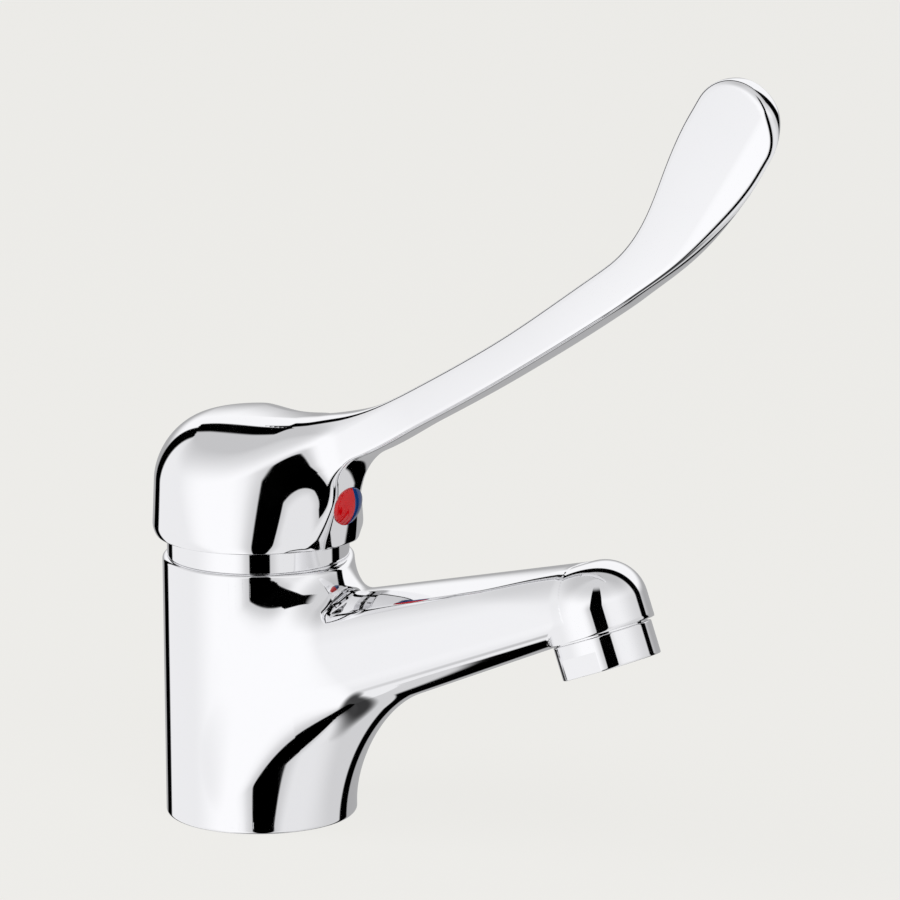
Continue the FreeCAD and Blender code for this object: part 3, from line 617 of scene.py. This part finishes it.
stem_edge, paddle_edge, edge_change = 1.3 * mm, 1.5 * mm, (110.0 * mm, 165.0 * mm)
face_bow, flank_bow = 0.4 * mm, 0.3 * mm
back_sink = (0.8 * mm, 8.0 * mm, 46.0 * mm)
paddle_from, paddle_tip = 170.0 * mm, 12.0 * mm

# The stem's centre line starts in the dome at this x and height over the rim. It first rises at
# start_rise degrees, and each bend adds its degrees between two lengths along the line.
stem_start, start_rise = np.array((10.9, 23.2)) * mm, 15.5
stem_bends = ((13.5, 13.0 * mm, 43.5 * mm), (5.2, 43.5 * mm, 110.0 * mm), (22.9, 110.0 * mm, 151.0 * mm))
# Each change of half depth or half width is a size and the two lengths that it runs between, as
# is back_sink, by which the stem's back starts lower than its section.
least_depth, least_width = 4.7 * mm, 3.0 * mm
root_depth, swell_depth = (3.0 * mm, 0.0, 46.0 * mm), (0.6 * mm, 75.0 * mm, 120.0 * mm)
paddle_depth = (6.65 * mm, 118.0 * mm, 165.0 * mm)
root_width, stem_width = (3.2 * mm, -5.0 * mm, 45.0 * mm), (2.9 * mm, 90.0 * mm, 170.0 * mm)

line_length, mark_count = 200, 10001
marks = np.linspace(0, line_length, mark_count) * mm
mark_heading = np.full_like(marks, math.radians(start_rise))
for degrees, first, last in stem_bends:
    mark_heading += math.radians(degrees) * rise_over(marks, first, last)
mark_step = marks[1] - marks[0]
mark_x = stem_start[0] + np.cumsum(np.cos(mark_heading)) * mark_step
mark_z = rim_z + stem_start[1] + np.cumsum(np.sin(mark_heading)) * mark_step


def stem_line(s):
    """Place and heading of the stem's centre line at a length along it, straight before its start.

    Its x and z are the running sums of the heading's cosine and sine times the step.
    """
    angle = np.interp(s, marks, mark_heading)
    before = np.minimum(s, 0)
    x = np.interp(s, marks, mark_x) + before * np.cos(angle)
    z = np.interp(s, marks, mark_z) + before * np.sin(angle)
    return x, z, angle


def gained(change, s):
    """What a change has added at a length along the stem: its size times the S curve's share."""
    return change[0] * rise_over(s, change[1], change[2])


def remaining(change, s):
    """What is left there of a size that fades: the size times 1 less the S curve's share."""
    return change[0] * (1 - rise_over(s, change[1], change[2]))


def stem_half_depth(s):
    """Half height of the stem's section: it shrinks from the root, then grows into the paddle."""
    return least_depth + remaining(root_depth, s) + (gained(swell_depth, s) + gained(paddle_depth, s))


def stem_half_width(s):
    """Half thickness of the stem's section: it shrinks at the root and again to the paddle."""
    return least_width + remaining(root_width, s) + remaining(stem_width, s)


def along_stem(p, stretch=1.1, rounds=5):
    """Length along the centre line nearest to a point, and the point's height above the line.

    A first guess from x is moved by how far the point still lies ahead along the heading.
    """
    x, z = p[..., 0], p[..., 2]
    s = (x - stem_start[0]) * stretch
    for _ in range(rounds):
        line_x, line_z, angle = stem_line(s)
        s = s + (x - line_x) * np.cos(angle) + (z - line_z) * np.sin(angle)
    line_x, line_z, angle = stem_line(s)
    return s, (z - line_z) * np.cos(angle) - (x - line_x) * np.sin(angle)


def lever_field(p):
    """Distance-like field of the lever, negative inside.

    The dome's tapered wall is flattened by two leaning planes that draw in towards the stem,
    and runs with a soft blend into the stem's flanks. A top face, the dome's crown and then the
    stem's back, cuts them with a round shoulder that shrinks to the stem's edge. Below, both
    end at the blade's bowed front face and at the stem's underside, which meet in a fillet.
    """
    x, y, z = p[..., 0], p[..., 1], p[..., 2]
    up = z - rim_z
    s, n = along_stem(p)
    depth, width = stem_half_depth(s), stem_half_width(s)
    bow = face_bow * np.minimum(np.abs(y) / width, 1) ** 2
    beyond = np.hypot(n, np.maximum(s - paddle_from, 0)) - depth + bow
    thinner = blade_thinning * rise_over(-n, *thinning_depths)
    flank = np.abs(y) - width + thinner + flank_bow * np.minimum(np.abs(n) / depth, 1) ** 2
    flank = round_cut(flank, -x, flank_start_round)
    rho = np.hypot(x, y)
    lift = up - tuck_height
    base = dome_radius - dome_taper * lift - tuck * (np.maximum(-lift, 0) / tuck_height) ** 2
    flat = np.abs(y) * math.cos(flat_heading) + x * math.sin(flat_heading) - flat_reach
    flat = (flat + flat_slope * (up - flat_level)) / math.hypot(1, flat_slope)
    sides = soft_join(round_cut(rho - base, flat, flat_round), flank, side_blend)
    crown = (up - dome_height + rho ** 2 / (2 * crown_radius)) / np.hypot(1, rho / crown_radius)
    back = n - depth + bow + remaining(back_sink, s)
    top = np.where(s > paddle_from, beyond, soft_join(crown, back, top_blend))
    edge = stem_edge + (paddle_edge - stem_edge) * rise_over(s, *edge_change)
    shoulder = shoulder_round + (edge - shoulder_round) * rise_over(x, *shoulder_fade)
    joined = round_cut(sides, top, shoulder)
    front = x - blade_reach - blade_slope * up + y ** 2 / (2 * blade_face_radius)
    low = round_join(front, -n - depth + bow, under_fillet)
    low = np.where(s > paddle_from, -depth, low)
    ridge = ridge_round + (edge - ridge_round) * rise_over(up, *ridge_fade)
    return round_cut(round_cut(joined, low, ridge), -up, rim_edge)


# The lever's skin is a net too: the front of the dome from the stem's first ring, the back of
# the dome up to its pole, the rim, the stem's length and the paddle's round end.
lever_seam, side_turn = 31.0 * mm, math.radians(75)
dome_level = rim_z + 1.2 * mm
lever_centre = np.array((8.0 * mm, 0.0, rim_z + 18.0 * mm))
rim_start_radius, cavity_radius, hollow_height = 24.4 * mm, 23.4 * mm, 16.5 * mm
meridian_count, dome_back_count = loop_count // 3, 145
stem_rows, tip_rows, front_rows, rim_rows = 121, 41, 81, 15
dome_reach, stem_reach = 60 * mm, 24 * mm


def stem_frame(s):
    """Place, forward and upward directions of the stem at lengths along it."""
    x, z, angle = stem_line(s)
    none = 0 * x
    place = np.stack([x, none, z], -1)
    forward = np.stack([np.cos(angle), none, np.sin(angle)], -1)
    upward = np.stack([-np.sin(angle), none, np.cos(angle)], -1)
    return place, forward, upward


def round_section(s, upward):
    """Points of an ellipse as deep and as wide as the stem's section, so each corner gets its share."""
    depth, width = stem_half_depth(s)[:, None, None], stem_half_width(s)[:, None, None]
    return (depth * np.cos(loop_turns)[:, None] * upward[:, None, :]
            + width * np.sin(loop_turns)[:, None] * sideways)


stem_lengths = np.linspace(lever_seam, paddle_from, stem_rows)
stem_place, stem_forward, stem_upward = stem_frame(stem_lengths)
stem_rays = unit(round_section(stem_lengths, stem_upward))
stem_skin = cast(lever_field, stem_place[:, None, :], stem_rays, stem_reach)

tip_turns = np.linspace(0, math.pi / 2, tip_rows)[:, None, None]
tip_ring = round_section(stem_lengths[-1:], stem_upward[-1:])
tip_rays = unit(np.cos(tip_turns) * tip_ring + np.sin(tip_turns) * paddle_tip * stem_forward[-1])
tip_skin = cast(lever_field, stem_place[-1], tip_rays, stem_reach)
tip_skin[0] = stem_skin[-1]
tip_skin[-1] = tip_skin[-1, 0]


def dome_points(angle, elevation):
    """Points of the lever's skin seen from its axis, at angles and at elevations over the rim."""
    angle, elevation = np.broadcast_arrays(angle, elevation)
    heading = np.cos(elevation)[..., None] * compass(angle)
    heading[..., 2] = np.sin(elevation)
    return cast(lever_field, np.array((0, 0, dome_level)), heading, dome_reach)


elevations = np.linspace(0, math.pi / 2, meridian_count + 1)
back_turns = np.linspace(side_turn, 2 * math.pi - side_turn, dome_back_count)
back_dome = dome_points(back_turns[None, :], elevations[:, None])
back_dome[-1] = dome_points(0.0, math.pi / 2)
front_turns = np.linspace(side_turn, -side_turn, meridian_count + 1)
front_rim = dome_points(front_turns, 0.0)
outer_loop = np.concatenate([back_dome[::-1, 0], front_rim[1:-1], back_dome[:-1, -1]])
front_dome = fan(stem_skin[0], outer_loop, lever_centre, lever_field, front_rows, dome_reach)
rim_loop = np.concatenate([back_dome[0], front_rim[::-1][1:-1]])
lever_rim = edge_strip(rim_loop, lever_field, rim_start_radius, rim_z, rim_rows)


def inside_lever(points, cover=1.2 * mm, slack=0.05 * mm):
    """True for the hollow of the dome, its bosses, its socket and the bore of the screw."""
    rho = np.hypot(points[:, 0], points[:, 1])
    hollow = (rho < cavity_radius - slack) & (points[:, 2] < rim_z + hollow_height)
    return (lever_field(points) < -cover) | hollow


lever_mesh = skin_mesh("lever", [(front_dome, True), (back_dome, False), (lever_rim, True),
                                 (flat_ring(lever_rim[-1], cavity_radius), True),
                                 (stem_skin, True), (tip_skin, True)],
                       lever_field, inner_faces("lever_handle", inside_lever))
add_piece("lever_casting", lever_mesh, "lever", chrome, "lever_handle")

# Cover ring: a turned brass ring, chrome plated. It stands on the body's rim and hides the nut
# that clamps the cartridge. Its outline has a point a little past each rounded edge, which keeps
# the shading of the straight faces flat.
ring_radius, ring_wall, ring_edge = 22.8 * mm, 1.8 * mm, 0.45 * mm
ring_bore, ring_flange = 17.2 * mm, 1.0 * mm
ring_low, ring_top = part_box("cover_ring")[0].z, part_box("cover_ring")[1].z
past_low_edge, past_top_edge = 1.1 * ring_edge, 1.6 * ring_edge
turn_count, crease = 256, math.radians(35)


def corner_arc(centre, radius, start, end, count=9):
    """Points of an arc between two angles in degrees: centre plus radius times cosine and sine."""
    turn = np.radians(np.linspace(start, end, count))
    return np.stack([centre[0] + radius * np.cos(turn), centre[1] + radius * np.sin(turn)], -1)


def turned_mesh(name, rows, sharp_angle):
    """Mesh of rows of points that each close on themselves, with the last row joined to the first.

    Edges between faces that differ by more than the sharp angle are shaded as edges.
    """
    rows = np.concatenate([rows, rows[:1]])
    faces = grid_faces(rows.shape[0], rows.shape[1], True, 0)
    mesh = bpy.data.meshes.new(name)
    mesh.from_pydata(rows.reshape(-1, 3).tolist(), [], faces.tolist())
    builder = bmesh.new()
    builder.from_mesh(mesh)
    bmesh.ops.remove_doubles(builder, verts=builder.verts, dist=weld)
    bmesh.ops.recalc_face_normals(builder, faces=builder.faces)
    builder.to_mesh(mesh)
    builder.free()
    mesh.shade_smooth()
    mesh.set_sharp_from_angle(angle=sharp_angle)
    return mesh


round_turns = 2 * np.pi * np.arange(turn_count) / turn_count
ring_inner = ring_radius - ring_wall
ring_profile = np.concatenate([
    [(ring_inner, ring_low)],
    corner_arc((ring_radius - ring_edge / 2, ring_low + ring_edge / 2), ring_edge / 2, -90, 0),
    [(ring_radius, ring_low + past_low_edge), (ring_radius, ring_top - past_top_edge)],
    corner_arc((ring_radius - ring_edge, ring_top - ring_edge), ring_edge, 0, 90),
    [(ring_radius - past_top_edge, ring_top), (ring_bore, ring_top),
     (ring_bore, ring_top - ring_flange), (ring_inner, ring_top - ring_flange)],
])
ring_rows = ring_profile[:, None, :1] * compass(round_turns)
ring_rows[..., 2] = ring_profile[:, None, 1]
ring_mesh = turned_mesh("cover_ring", ring_rows, crease)
add_piece("cover_ring_turned", ring_mesh, "fixed", chrome, "cover_ring")

# Aerator collar: turned brass, chrome plated, with two wrench flats milled on its lower part.
# Its threaded neck is screwed up into the spout's mouth and holds the plastic stack of jets.
# Heights are measured from the mouth along its axis.
collar_radius, collar_length, collar_edge = 12.3 * mm, 8.4 * mm, 0.35 * mm
flat_half, flat_length = 11.0 * mm, 5.0 * mm
collar_mouth, collar_thread, collar_bore = 9.5 * mm, 11.5 * mm, 10.4 * mm
collar_lip, neck_top = 1.2 * mm, 6.5 * mm
collar_top = -0.4 * mm
collar_low = collar_top - collar_length
past_collar_edge = 1.5 * collar_edge
least_sine = 0.1
flat_turn = math.asin(flat_half / collar_radius)
flat_ends = (flat_turn, math.pi - flat_turn, math.pi + flat_turn, 2 * math.pi - flat_turn)
collar_turns = np.union1d(round_turns, np.array(flat_ends))
flats_reach = flat_half / np.maximum(np.abs(np.sin(collar_turns)), least_sine)
collar_reach = np.minimum(collar_radius, flats_reach)
mouth_axis = np.array((-math.sin(mouth_tilt), 0, math.cos(mouth_tilt)))
collar_out = np.cos(collar_turns)[:, None] * mouth_forward + np.sin(collar_turns)[:, None] * sideways


def collar_row(reach, height):
    """Ring of points about the mouth's axis, at a distance that may change with the angle."""
    distance = np.broadcast_to(reach, collar_turns.shape)[:, None]
    return mouth + distance * collar_out + height * mouth_axis


low_arc = corner_arc((-collar_edge, collar_low + collar_edge), collar_edge, -90, 0)
top_arc = corner_arc((collar_radius - collar_edge, collar_top - collar_edge), collar_edge, 0, 90)
collar_profile = [
    (collar_mouth, collar_low),
    *((collar_reach + inset, height) for inset, height in low_arc),
    (collar_reach, collar_low + past_collar_edge),
    (collar_reach, collar_low + flat_length),
    (collar_radius, collar_low + flat_length),
    (collar_radius, collar_top - past_collar_edge),
    *top_arc,
    (collar_thread, collar_top), (collar_thread, neck_top), (collar_bore, neck_top),
    (collar_bore, collar_low + collar_lip), (collar_mouth, collar_low + collar_lip),
]
collar_rows = np.stack([collar_row(reach, height) for reach, height in collar_profile])
collar_mesh = turned_mesh("collar", collar_rows, crease)
add_piece("aerator_collar", collar_mesh, "fixed", chrome, "aerator_housing")

# Indicator plug: two halves moulded in glossy plastic, red towards the hot side and blue towards
# the cold, pressed together into the bore over the grub screw. The head is a shallow dome that
# leans with the blade's face. Its outline is given by radius and distance out of that face.
plug_box = (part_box("indicator_hot")[0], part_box("indicator_cold")[1])
plug_lift = 0.3 * mm
plug_z = (plug_box[0].z + plug_box[1].z) / 2 + plug_lift
plug_lean = math.atan(blade_slope)
plug_face = blade_reach + blade_slope * (plug_z - rim_z)
plug_radius, plug_dome, plug_edge = 4.9 * mm, 1.7 * mm, 0.35 * mm
plug_tip, plug_seat, plug_stem, plug_back = 2.1 * mm, -1.5 * mm, 3.3 * mm, -6.5 * mm
plug_split, half_count, dome_count, plug_crease = 0.03 * mm, 65, 25, math.radians(40)
edge_in, edge_down = 0.3 * plug_edge, 0.35 * plug_edge
red_tones = ((0.5, 0.001, 0.003), (0.62, 0.002, 0.005))
blue_tones = ((0.004, 0.035, 0.16), (0.006, 0.05, 0.21))


def mottled(name, tones, scale, roughness, metallic=0.0, depth=0.0):
    """Material whose colour and roughness drift between two values each, with two noises.

    The colour's noise has the given scale and the roughness's four times that. A depth in
    metres adds a fine bump, whose noise has eight times the scale.
    """
    tone_detail, rough_detail, bump_strength = 5.0, 3.0, 0.3
    drift_range = (0.3, 0.7)
    material, tree, shader, place = surface(name, tones[0], roughness[0], metallic)
    ramp = tree.nodes.new("ShaderNodeValToRGB")
    for stop, position, tone in zip(ramp.color_ramp.elements, drift_range, tones):
        stop.position = position
        stop.color = (*tone, 1)
    tree.links.new(noise(tree, place, scale, tone_detail), ramp.inputs["Fac"])
    tree.links.new(ramp.outputs["Color"], shader.inputs["Base Color"])
    rough = ease(tree, noise(tree, place, 4 * scale, rough_detail), *drift_range, *roughness)
    tree.links.new(rough, shader.inputs["Roughness"])
    if depth:
        raise_by(tree, shader, noise(tree, place, 8 * scale), bump_strength, depth)
    return material


def plug_half(side):
    """Rows of points of the plug's outline turned half round about its leaning axis, on one side.

    A point's way out of the face and its way up the face are turned by the lean. Its way
    sideways is the radius times the turn's sine, and the split's half gap.
    """
    turns = np.linspace(0, math.pi, half_count)
    out, level = plug_profile[:, 1:], plug_profile[:, :1] * np.cos(turns)
    rows = np.zeros((len(plug_profile), half_count, 3))
    rows[..., 0] = plug_face + out * math.cos(plug_lean) + level * math.sin(plug_lean)
    rows[..., 1] = side * (plug_profile[:, :1] * np.sin(turns) + plug_split)
    rows[..., 2] = plug_z - out * math.sin(plug_lean) + level * math.cos(plug_lean)
    return rows


plug_ball = (plug_radius ** 2 + plug_dome ** 2) / (2 * plug_dome)
dome_turns = np.linspace(0, math.asin((plug_radius - plug_edge) / plug_ball), dome_count)
dome_part = np.stack([plug_ball * np.sin(dome_turns), plug_tip - plug_ball * (1 - np.cos(dome_turns))], -1)
dome_end = dome_part[-1, 1]
plug_profile = np.concatenate([
    dome_part,
    [(plug_radius - edge_in, dome_end - edge_down), (plug_radius, dome_end - plug_edge),
     (plug_radius, plug_seat), (plug_stem, plug_seat), (plug_stem, plug_back), (0, plug_back)],
])
indicator_red = mottled("indicator_red", red_tones, 90.0, (0.07, 0.14))
indicator_blue = mottled("indicator_blue", blue_tones, 90.0, (0.07, 0.14))
for side, name, material, slot in ((-1, "hot", indicator_red, "indicator_red"),
                                   (1, "cold", indicator_blue, "indicator_blue")):
    plug_mesh = turned_mesh("indicator_half_" + name, plug_half(side), plug_crease)
    add_piece("indicator_half_" + name, plug_mesh, "lever", material, "indicator_" + name)

# Cartridge, held in the body's chamber by the nut. Its base and housing are moulded white plastic,
# with two ceramic discs between them and a moulded carrier and guide that the spindle moves. The
# temperature stop on the housing's neck is red plastic.
white_tones = ((0.62, 0.62, 0.58), (0.7, 0.7, 0.67))
grey_tones = ((0.1, 0.11, 0.12), (0.14, 0.15, 0.16))
ceramic_tones = ((0.78, 0.77, 0.73), (0.84, 0.83, 0.8))


def dress(material, *nodes):
    """Gives a material to solids that keep their own mesh."""
    for node in nodes:
        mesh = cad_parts[node].data
        mesh.materials.clear()
        mesh.materials.append(material)


cartridge_plastic = mottled("cartridge_plastic", white_tones, 60.0, (0.35, 0.5), depth=0.1 * mm)
carrier_plastic = mottled("carrier_plastic", grey_tones, 60.0, (0.35, 0.5), depth=0.1 * mm)
ceramic = mottled("ceramic", ceramic_tones, 120.0, (0.12, 0.2))
dress(cartridge_plastic, "cartridge_base", "cartridge_housing")
dress(carrier_plastic, "disc_carrier", "spindle_guide")
dress(ceramic, "fixed_disc", "moving_disc")
dress(indicator_red, "stop_ring")

# Spindle, its pin and the lever's grub screw, turned and milled from steel. The spindle tilts
# about the pin, which lies across the guide, and its ball moves the disc carrier.
steel_tones = ((0.5, 0.5, 0.51), (0.6, 0.6, 0.6))
steel = mottled("spindle_steel", steel_tones, 150.0, (0.22, 0.38), 1.0, 0.05 * mm)
dress(steel, "spindle", "spindle_pin", "grub_screw")

# Cartridge nut: turned brass with a hexagon for the spanner, left bare under the cover ring. It
# screws into the body's chamber and presses the cartridge's shoulder down.
brass_tones = ((0.62, 0.42, 0.17), (0.74, 0.52, 0.24))
brass = mottled("brass", brass_tones, 80.0, (0.25, 0.42), 1.0, 0.05 * mm)
dress(brass, "cartridge_nut")

# Seals: moulded black rubber, in the foot's groove, round the cartridge, at its ports, between its
# base and the fixed disc, and above the aerator. The flow regulator is a soft ring too.
rubber_tones = ((0.012, 0.012, 0.013), (0.03, 0.03, 0.032))
rubber = mottled("seal_rubber", rubber_tones, 70.0, (0.5, 0.75), depth=0.2 * mm)
dress(rubber, "base_seal", "port_seals", "disc_seals", "body_seal", "aerator_washer", "flow_regulator")

# Aerator stack inside the collar, moulded in pale plastic: a grid just above the lip, which
# straightens the flow, a disc with a circle of small jets, and a coarse filter at the inlet.
pale_tones = ((0.6, 0.62, 0.64), (0.7, 0.71, 0.72))
aerator_plastic = mottled("aerator_plastic", pale_tones, 90.0, (0.3, 0.45), depth=0.1 * mm)
dress(aerator_plastic, "aerator_grid", "aerator_jets", "aerator_filter")
